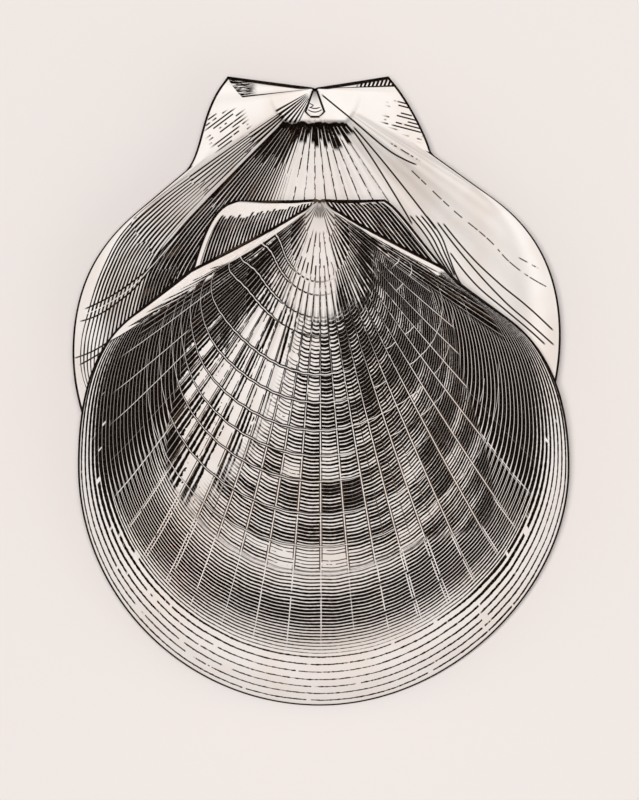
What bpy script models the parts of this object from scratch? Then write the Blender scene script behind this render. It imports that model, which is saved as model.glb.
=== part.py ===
"""Scallop shell: the two valves of one shell. The lower valve lies hollow side up. The upper valve has
slid towards its free margin and leans on the lower one, with its margin on the table.

Each valve grows as real ones do. Its margin is scaled down to every earlier growth stage, and earlier
stages are lifted more and more about the hinge line, which gives the dome and the beak. In a valve's
own axes +X runs along the hinge line, -Y towards the free margin and +Z out of the dome. Metres, +Z up."""

import math

import bmesh
import bpy
import numpy as np
from mathutils import Vector
from mathutils.geometry import interpolate_bezier

MM = 0.001

# Margin of each valve, in mm from the middle of the hinge line, as (to the side, towards the margin).
# "left" and "right" are as seen by someone who looks at the outside of that valve. "ear" has the two
# Bezier handles of the ear's edge. "arc" is how full the disc's lower arc is, 0.55 for an ellipse.
UPPER_MARGIN = {
    "left": {
        "corner": (17.0, 0.2), "ear": ((21.6, 0.6), (23.9, 8.0)), "notch": (25.7, 14.1),
        "shoulder": (38.5, 24.4), "widest": (49.4, 56.5), "arc": 0.55,
    },
    "right": {
        "corner": (13.0, 0.0), "ear": ((16.2, 1.0), (21.6, 11.3)), "notch": (29.2, 17.9),
        "shoulder": (38.6, 25.0), "widest": (51.0, 56.5), "arc": 0.52,
    },
    "foot": 107.2,
}
LOWER_MARGIN = {
    "left": {
        "corner": (14.8, -2.3), "ear": ((18.0, 0.5), (22.8, 9.5)), "notch": (23.6, 13.1),
        "shoulder": (36.4, 22.3), "widest": (50.2, 50.5), "arc": 0.52,
    },
    "right": {
        "corner": (17.6, -2.3), "ear": ((23.5, 4.0), (22.6, 12.6)), "notch": (26.2, 16.6),
        "shoulder": (36.2, 25.0), "widest": (49.5, 54.0), "arc": 0.51,
    },
    "foot": 103.5,
}
SHOULDER_HANDLE = 9.0
FLANK_HANDLE = 0.52

# Dome: how fast each stage turns about the hinge line as the shell grows, in radians. The ears turn
# less. The flank between ear and disc is this many degrees wide, and wider at the beak.
UPPER_TURN = 0.46
LOWER_TURN = 0.37
EAR_LIFT = 0.30
FLANK_DEGREES = 20.0
BEAK_FLANK_DEGREES = 34.0

# The brim, a shallow gutter between the dome and the free margin.
BRIM_STAGE = 0.89
BRIM_WIDTH = 0.055
BRIM_SAG = 0.45

# Ribs, and the raised edge of the disc along each ear.
RIBS = 28
RIB_HEIGHT = 0.45
RIB_STAGES = (0.06, 0.20, 0.74, 0.90)
SHOULDER_RIDGE = 0.9

# Shell thickness in mm at growth stages from the beak to the margin.
THICKNESS_STAGES = (0.04, 0.12, 0.35, 0.85, 1.0)
THICKNESS = (0.7, 1.3, 1.9, 1.6, 1.2)

# Hinge plate inside the beak, with the pit of the inner ligament. The plate ends in a step, PLATE_REACH
# mm from the hinge line and up to PLATE_DEGREES to each side.
PLATE_REACH = 7.0
PLATE_DEGREES = 46.0
PLATE_STAGE_LIMIT = 0.25
PLATE_ROWS = 3
PLATE_STEP = 1.07
CAVITY_STAGE = 0.29
BEAK_TIP = (0.0, -0.4, 0.8)
HINGE_EDGE_SWELL = (0.0, 0.25, 0.0)
PIT_REACH = (1.9, 3.1)
PIT_MIDDLE = 3.4
PIT_DEPTH = 1.3

# Mesh: columns run round the margin, rows run from the beak over the outside and back inside.
EAR_COLUMNS = 6
SHOULDER_COLUMNS = 1
COLUMNS_PER_RIB = 2
STAGES = (
    0.042, 0.07, 0.095, 0.12, 0.165, 0.22, 0.29, 0.37,
    0.46, 0.56, 0.66, 0.75, 0.82, 0.88, 0.94, 1.0,
)
CURVE_STEPS = 48

# How the valves lie. The lower valve rests on a small worn flat at the bottom of its dome.
LOWER_REST_DEPTH = 14.75
UPPER_TILT_DEGREES = 15.39
UPPER_HINGE = (1.0, -23.0, 28.45)

SHELL_COLOUR = (0.80, 0.72, 0.62, 1.0)
INNER_COLOUR = (0.86, 0.80, 0.73, 1.0)


def smooth_step(value):
    """0 to 1 with level ends."""
    held = np.clip(value, 0.0, 1.0)
    return held * held * (3.0 - 2.0 * held)


def evenly_along(points, count):
    """count + 1 points at even distances along a run of points."""
    steps = np.linalg.norm(np.diff(points, axis=0), axis=1)
    travelled = np.concatenate([[0.0], np.cumsum(steps)])
    wanted = np.linspace(0.0, travelled[-1], count + 1)
    return np.stack([np.interp(wanted, travelled, points[:, axis]) for axis in range(2)], axis=1)


def bezier(start, start_handle, end_handle, end):
    """Points along one Bezier segment in the plane."""
    corners = [Vector((*point, 0.0)) for point in (start, start_handle, end_handle, end)]
    return np.array([point[:2] for point in interpolate_bezier(*corners, CURVE_STEPS)])


def half_margin(side, foot):
    """The ear's edge, the shoulder and the disc's arc of one side, from the hinge corner to the foot."""
    notch, shoulder, widest = (np.array(side[name]) for name in ("notch", "shoulder", "widest"))
    along_shoulder = (shoulder - notch) / np.linalg.norm(shoulder - notch)
    ear = bezier(side["corner"], *side["ear"], notch)
    straight = np.stack([notch, shoulder])
    flank_rise = FLANK_HANDLE * (widest[1] - shoulder[1])
    flank = bezier(shoulder, shoulder + SHOULDER_HANDLE * along_shoulder, widest - [0.0, flank_rise], widest)
    deep = foot - widest[1]
    arc = side["arc"]
    bottom = bezier(widest, widest + [0.0, arc * deep], [arc * widest[0], foot], [0.0, foot])
    return ear, straight, np.concatenate([flank, bottom[1:]])


def margin_columns(margin):
    """(points, rib wave, ridge) for each column round the margin, from the left hinge corner to the right."""
    left = half_margin(margin["left"], margin["foot"])
    right = half_margin(margin["right"], margin["foot"])
    mirror = np.array([-1.0, 1.0])
    disc = np.concatenate([left[2] * mirror, right[2][::-1][1:]])
    disc = evenly_along(disc, RIBS * COLUMNS_PER_RIB)
    left_ear = evenly_along(left[0] * mirror, EAR_COLUMNS)[:-1]
    left_shoulder = evenly_along(left[1] * mirror, SHOULDER_COLUMNS)[:-1]
    right_shoulder = evenly_along(right[1][::-1], SHOULDER_COLUMNS)[1:]
    right_ear = evenly_along(right[0][::-1], EAR_COLUMNS)[1:]
    points = np.concatenate([left_ear, left_shoulder, disc, right_shoulder, right_ear])
    before = EAR_COLUMNS + SHOULDER_COLUMNS
    wave = np.zeros(len(points))
    wave[before:-before] = -np.cos(np.arange(len(disc)) * 2.0 * math.pi / COLUMNS_PER_RIB)
    wave[[before, -before - 1]] = 0.0
    ridge = np.zeros(len(points))
    ridge[[before - 1, before, -before - 1, -before]] = 1.0
    return points, wave, ridge


def flank(points, stage):
    """(share of the dome's height, how fast it climbs with the angle from the middle) for each column."""
    angle = np.degrees(np.arctan2(np.abs(points[:, 0]), np.maximum(points[:, 1], 1e-6)))
    crease = max(angle[EAR_COLUMNS], angle[-EAR_COLUMNS - 1])
    width = FLANK_DEGREES + (BEAK_FLANK_DEGREES - FLANK_DEGREES) * (1.0 - smooth_step(stage / 0.4))
    climb = np.clip((crease - angle) / width, 0.0, 1.0)
    share = EAR_LIFT + (1.0 - EAR_LIFT) * smooth_step(climb)
    return share, (1.0 - EAR_LIFT) * 6.0 * climb * (1.0 - climb) / np.radians(width)


def growth_surface(points, turn_rate, stage):
    """Inner face at one growth stage for each column, and how much longer the slope makes a vertical
    cut through the shell."""
    turn = -turn_rate * np.log(stage)
    share, climb_rate = flank(points, stage)
    sag = 1.0 - BRIM_SAG * np.exp(-(((stage - BRIM_STAGE) / BRIM_WIDTH) ** 2))
    reach = np.hypot(points[:, 0], points[:, 1])
    forward = np.maximum(points[:, 1], 0.0) / reach
    radial_slope = (turn - turn_rate) * forward * share
    side_slope = turn * forward * climb_rate
    height = stage * reach * forward * turn * share * sag
    place = np.stack([stage * points[:, 0], -stage * points[:, 1], height], axis=1)
    return place, np.sqrt(1.0 + radial_slope**2 + side_slope**2)


def rib_strength(stage):
    """Ribs fade in from the beak and fade out before the brim."""
    rise_from, full_from, full_to, gone_at = RIB_STAGES
    rise = smooth_step((stage - rise_from) / (full_from - rise_from))
    return float(rise * smooth_step((gone_at - stage) / (gone_at - full_to)))


def outer_row(columns, turn_rate, stage):
    """One row of the outside: the inner face, the shell's thickness, the ribs and the shoulder ridge."""
    points, wave, ridge = columns
    place, lengthened = growth_surface(points, turn_rate, stage)
    place[:, 2] += np.interp(stage, THICKNESS_STAGES, THICKNESS) * lengthened
    place[:, 2] += RIB_HEIGHT * wave * rib_strength(stage) + SHOULDER_RIDGE * ridge * math.sqrt(stage)
    return place


def inner_row(columns, turn_rate, index):
    """One row of the inside. The first rows are the flat hinge plate with its ligament pit."""
    points = columns[0]
    side_reach = np.hypot(points[:, 0], points[:, 1]) * math.cos(math.radians(PLATE_DEGREES))
    plate_end = np.minimum(PLATE_REACH / np.maximum(points[:, 1], side_reach), PLATE_STAGE_LIMIT)
    if index >= PLATE_ROWS:
        stage = max(STAGES[index], CAVITY_STAGE)
        if STAGES[index] < CAVITY_STAGE:
            part_way = (STAGES[index] - STAGES[PLATE_ROWS]) / (CAVITY_STAGE - STAGES[PLATE_ROWS])
            stage = PLATE_STEP * plate_end * (1.0 - part_way) + CAVITY_STAGE * part_way
        return growth_surface(points, turn_rate, stage)[0]
    place, _ = growth_surface(points, turn_rate, plate_end * (index + 1) / PLATE_ROWS)
    across = np.clip(1.0 - (place[:, 0] / PIT_REACH[0]) ** 2, 0.0, 1.0)
    down = np.clip(1.0 - ((place[:, 1] + PIT_MIDDLE) / PIT_REACH[1]) ** 2, 0.0, 1.0)
    place[:, 2] = PIT_DEPTH * across * down
    return place


def valve_rows(margin, turn_rate, rest_depth=None):
    """All rows of a valve's closed skin, each with a shared end column where inside and outside meet."""
    columns = margin_columns(margin)
    outside = [outer_row(columns, turn_rate, stage) for stage in STAGES]
    inside = [inner_row(columns, turn_rate, index) for index in range(len(STAGES))]
    if rest_depth is not None:
        for row in outside:
            row[:, 2] = np.minimum(row[:, 2], rest_depth)
    tip = np.tile(np.array(BEAK_TIP), (len(columns[0]), 1))
    skins = [tip, *outside, *inside[::-1], tip]
    seams = [tip, *[(a + b) / 2 + HINGE_EDGE_SWELL for a, b in zip(outside, inside)]]
    seams = [*seams, *seams[::-1]]
    return [np.concatenate([seam[:1], skin, seam[-1:]]) for seam, skin in zip(seams, skins)]


def valve(name, rows, material, collection):
    """A grid folded round the free margin, and closed at the beak and along the hinge line."""
    mesh = bpy.data.meshes.new(name)
    grid = bmesh.new()
    bmesh.ops.create_grid(grid, x_segments=len(rows[0]) - 1, y_segments=len(rows) - 1, size=1.0)
    grid.verts.ensure_lookup_table()
    places = np.concatenate(rows) * MM
    for vertex, place in zip(grid.verts, places):
        vertex.co = place
    bmesh.ops.remove_doubles(grid, verts=grid.verts, dist=1e-7)
    bmesh.ops.recalc_face_normals(grid, faces=grid.faces)
    grid.to_mesh(mesh)
    grid.free()
    mesh.materials.append(material)
    mesh.shade_smooth()
    mesh.set_sharp_from_angle(angle=math.radians(40.0))
    obj = bpy.data.objects.new(name, mesh)
    collection.objects.link(obj)
    return obj


def shell_material(name, colour, roughness):
    material = bpy.data.materials.new(name)
    material.use_nodes = True
    shader = material.node_tree.nodes["Principled BSDF"]
    shader.inputs["Base Color"].default_value = colour
    shader.inputs["Roughness"].default_value = roughness
    shader.inputs["Metallic"].default_value = 0.0
    return material


def centre_on_origin(carrier, valves):
    """Moves the pair so that the middle of its base is at the origin."""
    bpy.context.view_layer.update()
    corners = np.array([obj.matrix_world @ vertex.co for obj in valves for vertex in obj.data.vertices])
    low, high = corners.min(axis=0), corners.max(axis=0)
    carrier.location = Vector((-(low[0] + high[0]) / 2, -(low[1] + high[1]) / 2, -low[2]))
    bpy.context.view_layer.update()


def main():
    for old in list(bpy.data.objects):
        bpy.data.objects.remove(old, do_unlink=True)
    collection = bpy.data.collections.new("scallop_shell")
    bpy.context.scene.collection.children.link(collection)
    carrier = bpy.data.objects.new("shell_pair", None)
    collection.objects.link(carrier)

    chalky = shell_material("outer_shell", SHELL_COLOUR, 0.45)
    lustrous = shell_material("inner_shell", INNER_COLOUR, 0.3)
    lower = valve("lower_valve", valve_rows(LOWER_MARGIN, LOWER_TURN, LOWER_REST_DEPTH), lustrous, collection)
    upper = valve("upper_valve", valve_rows(UPPER_MARGIN, UPPER_TURN), chalky, collection)

    lower.rotation_euler = (0.0, math.pi, 0.0)
    lower.location = Vector((0.0, 0.0, LOWER_REST_DEPTH)) * MM
    upper.rotation_euler = (math.radians(UPPER_TILT_DEGREES), 0.0, 0.0)
    upper.location = Vector(UPPER_HINGE) * MM
    for obj in (lower, upper):
        obj.parent = carrier
    centre_on_origin(carrier, (lower, upper))
    return lower, upper


if __name__ == "__main__":
    main()
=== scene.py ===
"""Scallop shell: two valves grown from their margin curves, drawn in umber growth lines on ivory calcite.
The lines also paint shade: they crowd on the shaded flanks, and hatch the shaded wall of the hollow.

Geometry Nodes scale each margin down to every earlier growth stage and lift the stages into a dome, as a
real scallop does when it adds shell at its edge. In a valve's own axes +X runs along the hinge line, -Y
towards the free margin and +Z out of the dome. Lengths in the trees are in millimetres."""

import math

import bpy
import numpy as np
from mathutils import Matrix, Vector
from mathutils.geometry import interpolate_bezier


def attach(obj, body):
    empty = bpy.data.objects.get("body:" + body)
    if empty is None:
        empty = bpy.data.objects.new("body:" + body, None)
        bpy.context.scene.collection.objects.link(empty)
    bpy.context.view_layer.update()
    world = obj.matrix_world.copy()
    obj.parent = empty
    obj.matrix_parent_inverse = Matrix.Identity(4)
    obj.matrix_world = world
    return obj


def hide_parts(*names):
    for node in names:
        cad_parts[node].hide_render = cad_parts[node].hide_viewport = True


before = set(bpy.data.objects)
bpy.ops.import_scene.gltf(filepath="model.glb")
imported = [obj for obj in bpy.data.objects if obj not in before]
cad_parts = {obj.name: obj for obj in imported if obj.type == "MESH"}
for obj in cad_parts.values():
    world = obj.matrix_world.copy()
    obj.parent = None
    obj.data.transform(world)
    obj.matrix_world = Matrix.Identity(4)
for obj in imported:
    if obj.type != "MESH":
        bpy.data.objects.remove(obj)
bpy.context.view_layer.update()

bl_info = {
    "name": "Scallop Shell",
    "version": (1, 0, 0),
    "blender": (4, 5, 0),
    "location": "View3D > Sidebar > Shell",
    "description": "Grows the two valves of a scallop shell and sets a plain studio around them",
    "category": "Add Mesh",
}

MM = 0.001
DEGREE = math.pi / 180.0
CURVE_STEPS = 48

# A float curve's axes run from 0 to 1, which stand for this reach in mm and this span of degrees.
CURVE_REACH = 120.0
CURVE_DEGREES = 120.0

# Margins in mm from the middle of the hinge line, as (to the side, towards the margin). "left" and
# "right" are as seen by someone who looks at the outside of that valve. "ear" has the two Bezier handles
# of the ear's edge. "arc" is how full the disc's lower arc is, 0.55 for an ellipse.
UPPER_MARGIN = {
    "left": {
        "corner": (17.0, 0.2), "ear": ((21.6, 0.6), (23.9, 8.0)), "notch": (25.7, 14.1),
        "shoulder": (38.5, 24.4), "widest": (49.4, 56.5), "arc": 0.55,
    },
    "right": {
        "corner": (13.0, 0.0), "ear": ((16.2, 1.0), (21.6, 11.3)), "notch": (29.2, 17.9),
        "shoulder": (38.6, 25.0), "widest": (51.0, 56.5), "arc": 0.52,
    },
    "foot": 107.2,
}
LOWER_MARGIN = {
    "left": {
        "corner": (14.8, -2.3), "ear": ((18.0, 0.5), (22.8, 9.5)), "notch": (23.6, 13.1),
        "shoulder": (36.4, 22.3), "widest": (50.2, 50.5), "arc": 0.52,
    },
    "right": {
        "corner": (17.6, -2.3), "ear": ((23.5, 4.0), (22.6, 12.6)), "notch": (26.2, 16.6),
        "shoulder": (36.2, 25.0), "widest": (49.5, 54.0), "arc": 0.51,
    },
    "foot": 103.5,
}
SHOULDER_HANDLE = 9.0
FLANK_HANDLE = 0.52

# Where each hinge line's middle is, and how the valves are turned.
LOWER_HINGE = (-1.243, 62.075, 14.75)
LOWER_TURNED = (0.0, math.pi, 0.0)
UPPER_HINGE = (-0.243, 39.075, 28.45)
UPPER_TURNED = (math.radians(15.39), 0.0, 0.0)

# Growth stages at which growth halted for a season and left a terrace and a dark double line, and how far
# from each the line's place is still told.
HALTS = (0.127, 0.15, 0.19, 0.223, 0.295, 0.349, 0.404, 0.455, 0.507, 0.575, 0.644)
HALT_REACH = 0.0115

# Names of what the valve tree stores on the mesh: a UV map, and what the materials and the tree read.
LINE_MAP = "growth_map"
LINE_PLACE = "growth_place"
PLAN_PLACE = "plan_place"
TONE_PLACE = "tone_place"
HALT_PLACE = "halt_place"
INNER_SIDE = "inside"


class Number:
    """A number inside a node tree. Arithmetic on it adds Math nodes."""

    def __init__(self, tree, socket):
        self.tree, self.socket = tree, socket

    def math(self, operation, *others):
        node = add_node(self.tree, "ShaderNodeMath", dict(enumerate((self, *others))), operation=operation)
        return Number(self.tree, node.outputs[0])

    def __add__(self, other):
        return self.math("ADD", other)

    def __sub__(self, other):
        return self.math("SUBTRACT", other)

    def __rsub__(self, other):
        return self.math("MULTIPLY", -1.0).math("ADD", other)

    def __mul__(self, other):
        return self.math("MULTIPLY", other)

    def __truediv__(self, other):
        return self.math("DIVIDE", other)

    def __pow__(self, other):
        return self.math("POWER", other)

    def __abs__(self):
        return self.math("ABSOLUTE")

    __radd__ = __add__

    def smooth(self, low, high, form="SMOOTHSTEP"):
        """0 at low and 1 at high, or the other way round where high is below low."""
        limits = {"Value": self, "From Min": low, "From Max": high}
        node = add_node(self.tree, "ShaderNodeMapRange", limits, interpolation_type=form)
        return Number(self.tree, node.outputs[0])

    def bump_at(self, middle, width):
        """A soft bump, 1 at the middle."""
        return (((self - middle) / width) ** 2 * -1.0).math("EXPONENT")

    def line_distance(self):
        """0 on each half-integer and 1 on each integer."""
        return abs(self.math("FRACT") - 0.5) * 2.0

    def stripes(self, share, soft=0.12):
        """Lines on the half-integers that cover this share of the pitch."""
        return (self.line_distance() + soft - share * (1.0 + 2.0 * soft)).smooth(soft, -soft)

    def larger(self, *others):
        """The largest of this and the others."""
        result = self
        for other in others:
            result = result.math("MAXIMUM", other)
        return result

    def between(self, low, high, soft):
        """1 between low and high, with soft ends."""
        return self.smooth(low - soft, low + soft) * self.smooth(high + soft, high - soft)

    def follow(self, points):
        """The height of a curve through these points, all between 0 and 1, at this number."""
        node = add_node(self.tree, "ShaderNodeFloatCurve", {"Value": self})
        curve = node.mapping.curves[0]
        curve.points[0].location, curve.points[1].location = points[0], points[-1]
        for place in points[1:-1]:
            curve.points.new(*place)
        node.mapping.update()
        return Number(self.tree, node.outputs[0])

    def degrees_at(self, points):
        """For a reach in mm: the angle in degrees of a curve through (reach, angle) points."""
        placed = [(reach / CURVE_REACH, degrees / CURVE_DEGREES + 0.5) for reach, degrees in points]
        return ((self / CURVE_REACH).follow(placed) - 0.5) * CURVE_DEGREES


def add_node(tree, kind, inputs=None, **settings):
    """Adds a node with its settings, and links or sets its inputs."""
    node = tree.nodes.new(kind)
    for name, value in settings.items():
        setattr(node, name, value)
    for key, value in (inputs or {}).items():
        source = value.socket if isinstance(value, Number) else value
        if isinstance(source, bpy.types.NodeSocket):
            tree.links.new(source, node.inputs[key])
        else:
            node.inputs[key].default_value = source
    return node


def linear(hex_colour):
    """An sRGB hex colour as linear red, green, blue and alpha."""
    parts = [int(hex_colour[i : i + 2], 16) / 255.0 for i in (1, 3, 5)]
    return (*[p / 12.92 if p <= 0.04045 else ((p + 0.055) / 1.055) ** 2.4 for p in parts], 1.0)


def add_object(name, data):
    """A new object with this data, in the scene."""
    obj = bpy.data.objects.new(name, data)
    bpy.context.scene.collection.objects.link(obj)
    return obj


# Margin curves


def margin_knots(margin):
    """Bezier knots (place, handle before, handle after) round a margin, from the left hinge corner."""
    knots = []
    for name, mirror in (("left", -1.0), ("right", 1.0)):
        side = margin[name]
        names = ("corner", "notch", "shoulder", "widest")
        corner, notch, shoulder, widest = (np.array(side[key]) for key in names)
        straight = (shoulder - notch) / np.linalg.norm(shoulder - notch)
        rise = FLANK_HANDLE * (widest[1] - shoulder[1])
        deep = margin["foot"] - widest[1]
        foot = np.array([0.0, margin["foot"]])
        half = [
            (corner, corner, side["ear"][0]),
            (notch, side["ear"][1], notch + straight),
            (shoulder, shoulder - straight, shoulder + SHOULDER_HANDLE * straight),
            (widest, widest - [0.0, rise], widest + [0.0, side["arc"] * deep]),
            (foot, foot + [side["arc"] * widest[0], 0.0], foot),
        ]
        knots.append([[np.array(point) * [mirror, 1.0] for point in knot] for knot in half])
    left, right = knots
    foot = [left[-1][0], left[-1][1], right[-1][1]]
    back = [[place, after, before] for place, before, after in right[-2::-1]]
    return [*left[:-1], foot, *back]


def margin_curve(name, margin):
    """(curve object, share of its length before the disc, share before the disc's end)."""
    knots = margin_knots(margin)
    data = bpy.data.curves.new(name, "CURVE")
    data.dimensions = "3D"
    data.resolution_u = CURVE_STEPS
    spline = data.splines.new("BEZIER")
    spline.bezier_points.add(len(knots) - 1)
    for point, (place, before, after) in zip(spline.bezier_points, knots):
        point.handle_left_type = point.handle_right_type = "FREE"
        for attribute, (across, along) in (("co", place), ("handle_left", before), ("handle_right", after)):
            setattr(point, attribute, Vector((across, -along, 0.0)) * MM)
    lengths = []
    for here, there in zip(spline.bezier_points, spline.bezier_points[1:]):
        run = interpolate_bezier(here.co, here.handle_right, there.handle_left, there.co, CURVE_STEPS)
        lengths.append(sum((b - a).length for a, b in zip(run, run[1:])))
    return add_object(name, data), sum(lengths[:2]) / sum(lengths), sum(lengths[:-2]) / sum(lengths)


# The valve's node tree


VALVE_SOCKETS = (
    # name, kind of socket, default
    ("Margin", "Geometry", None),
    ("Columns", "Int", 250),
    ("Rows", "Int", 363),
    ("Disc Start", "Float", 0.1),
    ("Disc End", "Float", 0.9),
    ("Crease Angle", "Float", 60.0),
    ("Turn", "Float", 0.4),
    ("Rib Count", "Float", 28.0),
    ("Rib Height", "Float", 0.28),
    ("Rest Depth", "Float", 100.0),
    ("Hinge Facet", "Float", 0.0),
    ("Outside", "Material", None),
    ("Inside", "Material", None),
)

# The first stage, how far early growth lines bend back at their sides, the rim's share of the rows, the
# ears' height as a share of the disc's, the fall to the ears in degrees, and the sag inside the brim.
BEAK_STAGE = 0.036
EARLY_ROUNDNESS = 0.23
RIM_SHARE = 0.02
EAR_LIFT = 0.30
FLANK_DEGREES = 20.0
BEAK_FLANK_DEGREES = 34.0
BRIM_STAGE = 0.89
BRIM_WIDTH = 0.055
BRIM_SAG = 0.45

# In mm: the wall at the beak, what it gains by a third of the growth and loses again to the margin, and
# what stands up from it or is sunk into it.
WALL_AT_BEAK = 0.7
WALL_GAIN = 1.2
WALL_LOSS = 0.7
CORD_HEIGHT = 0.95
RIBLET_HEIGHT = 0.15
LAMELLA_HEIGHT = 0.16
BRIM_STEP = 0.09
TERRACE_DEPTH = 0.13
PIT_DEPTH = 0.8
TIP_HEIGHT = 0.8
RIM_BULGE = 0.3
PLATE_REACH = 6.6
PLATE_COSINE = math.cos(math.radians(43.0))
WELD = 0.000004

# The disc's margin from the beak, as (reach in mm, degrees from the middle).
MARGIN_SWEEP = (
    (0, 57.4), (31.3, 57.1), (39.5, 56.7), (48.9, 55.1), (55.8, 52.1), (65.3, 47.2), (70.9, 44.3),
    (75.5, 41), (79.5, 36.3), (90, 26), (103.5, 2),
)

# Width of the left shoulder cord, as (reach, width) in mm from the beak.
LEFT_CORD = (
    (0, 0.1), (5, 0.5), (9.3, 0.85), (16, 1.2), (25, 1.6), (32, 2.7), (38, 3.2), (44, 2.8),
    (50, 1.4), (54, 0), (120, 0),
)

# How much of the outside is dark, and where it is darker or paler. The zones set the lines' own density and
# also paint
# shade: darker on the shaded flanks and where the dome falls to the brim, paler on the lit umbo. Columns:
# (signed angle, stage, width in degrees, width in stages, amount).
OUTER_TONE = 0.56
OUTER_PIGMENT_AND_SHADE_TONES = (
    (-50, 0.55, 8, 0.34, 0.46), (-54, 0.09, 10, 0.06, 0.22), (-30, 0.15, 8, 0.07, -0.14),
    (-48, 0.82, 12, 0.12, 0.44), (-38, 0.985, 14, 0.03, -0.14), (-38, 0.92, 8, 0.03, 0.12),
    (-34, 0.84, 8, 0.04, 0.14), (38, 0.96, 10, 0.04, -0.24), (16, 0.7, 4, 0.03, 0.12),
    (24, 0.75, 4, 0.05, -0.14), (14, 0.19, 6, 0.05, 0.2), (-30, 0.3, 6, 0.04, -0.22),
    (-24, 0.5, 6, 0.04, 0.12), (29, 0.55, 4, 0.03, 0.14), (20, 0.7, 3, 0.03, 0.12),
    (22, 0.81, 4, 0.03, 0.14), (25, 0.9, 5, 0.03, 0.14), (35, 0.9, 5, 0.03, 0.1),
    (-17, 0.86, 4, 0.03, 0.12), (2, 0.665, 6, 0.02, -0.14), (-33, 0.84, 12, 0.05, 0.2),
    (-39, 0.64, 9, 0.12, 0.34), (-40, 0.26, 12, 0.16, 0.26), (-24, 0.42, 10, 0.16, -0.14),
    (-12, 0.33, 10, 0.12, -0.24), (-4, 0.08, 15, 0.09, -0.32), (-1, 0.25, 7, 0.03, -0.16),
    (-5, 0.45, 7, 0.03, -0.12), (-3, 0.55, 9, 0.03, 0.24), (-6, 0.65, 9, 0.025, -0.2),
    (8, 0.3, 6, 0.04, 0.1), (10, 0.48, 8, 0.1, 0.16), (24, 0.34, 16, 0.2, 0.3),
    (26, 0.58, 10, 0.08, 0.14), (44, 0.45, 13, 0.3, 0.34), (48, 0.18, 9, 0.1, 0.24),
    (54, 0.65, 6, 0.34, 0.22), (46, 0.68, 6, 0.08, 0.14), (23, 0.12, 5, 0.03, -0.16),
    (18, 0.5, 7, 0.08, -0.2), (13, 0.235, 6, 0.03, 0.2), (18, 0.76, 6, 0.06, 0.16),
    (33, 0.73, 4, 0.05, 0.24), (-3, 0.67, 6, 0.03, -0.12), (8, 0.88, 10, 0.03, -0.1),
    (-43, 0.72, 6, 0.12, 0.3), (-40, 0.9, 6, 0.03, 0.18), (-24, 0.68, 6, 0.04, 0.16),
    (-10, 0.6, 20, 0.08, 0.02), (0, 0.7, 34, 0.03, -0.14), (2, 0.79, 60, 0.05, 0.26),
    (30, 0.85, 9, 0.04, 0.22), (50, 0.8, 12, 0.16, 0.26), (-2, 0.93, 34, 0.06, -0.38),
    (0, 0.99, 38, 0.03, -0.2),
)


def pit_half_width(along):
    """Half the ligament pit's width at this many mm from the hinge line, in mm. It widens to a round end."""
    return (along * 0.36 + 0.25).math("MINIMUM", (5.9 - along).larger(0).math("SQRT") * 1.75)


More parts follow.
